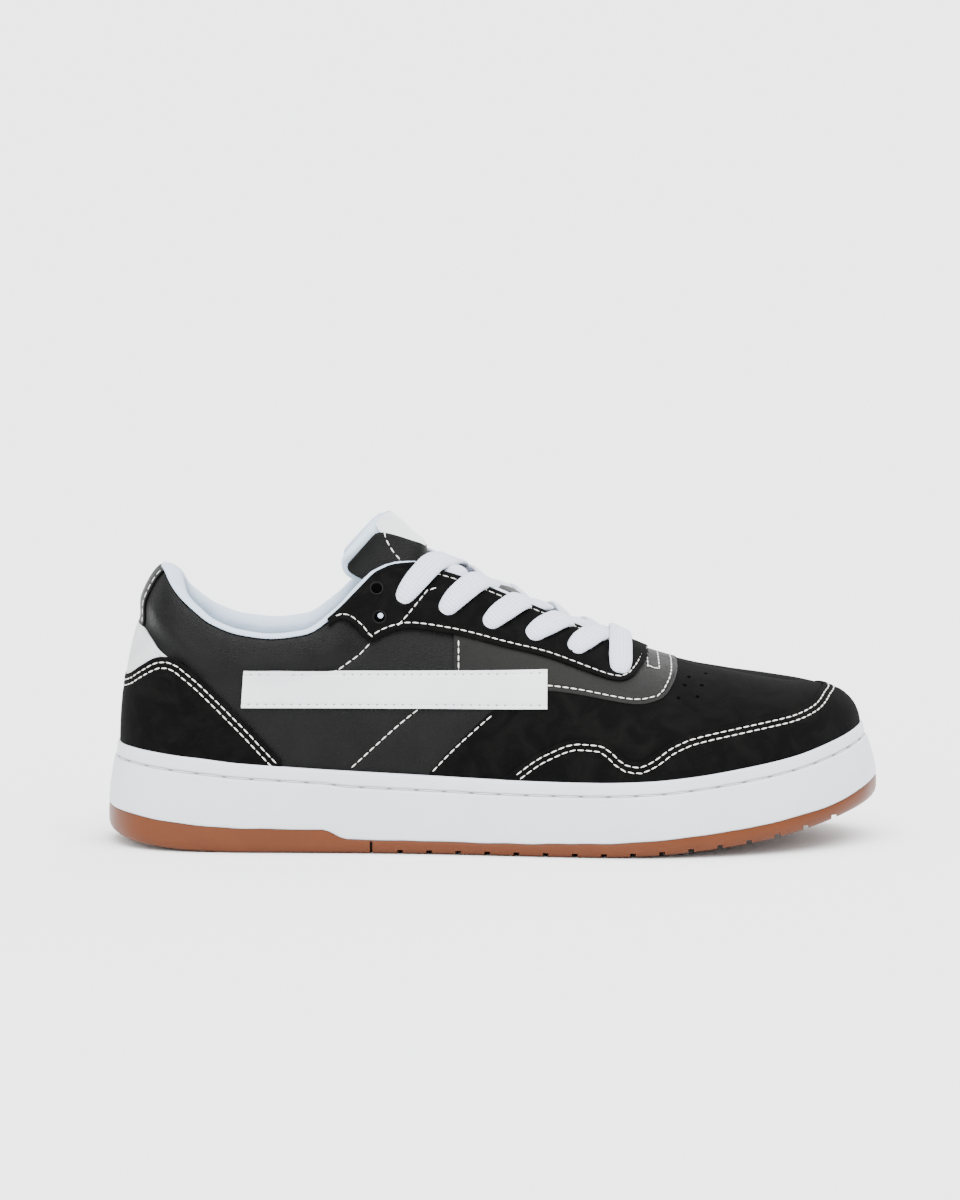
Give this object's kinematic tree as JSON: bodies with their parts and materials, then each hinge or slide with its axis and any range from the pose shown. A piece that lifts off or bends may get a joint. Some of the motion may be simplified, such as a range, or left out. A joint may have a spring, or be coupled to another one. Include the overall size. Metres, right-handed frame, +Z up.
{
  "type": "skateboarding shoe",
  "caption": "Low skateboarding shoe for the right foot, black suede and leather upper on a white rubber cupsole with a gum outsole and flat white laces",
  "frame": {"origin": "on the floor under the middle of the shoe's box", "axes": "+X towards the toe, +Y to the inner (medial) side of the foot, +Z up"},
  "size_m": [0.3, 0.1082, 0.1298],
  "materials": {
    "gum": "satin brown gum rubber",
    "white_rubber": "matte white rubber",
    "insole": "pale foam under cloth",
    "smooth_leather": "soft black grain leather",
    "suede": "black suede nap",
    "white_leather": "plain white leather",
    "lining": "padded white cloth lining",
    "white_cotton": "woven white cotton"
  },
  "bodies": {
    "root": {"outsole": "gum", "midsole": "white_rubber", "insole": "insole", "upper": "smooth_leather", "tongue": "lining", "toe_overlay": "suede", "heel_counter": "suede", "heel_tab": "white_leather", "eyestay": "suede", "vamp_patch": "smooth_leather", "side_band_lateral": "white_leather", "side_band_medial": "white_leather", "lace_keeper": "smooth_leather", "tongue_label": "white_leather", "laces": "white_cotton"}
  },
  "joints": []
}
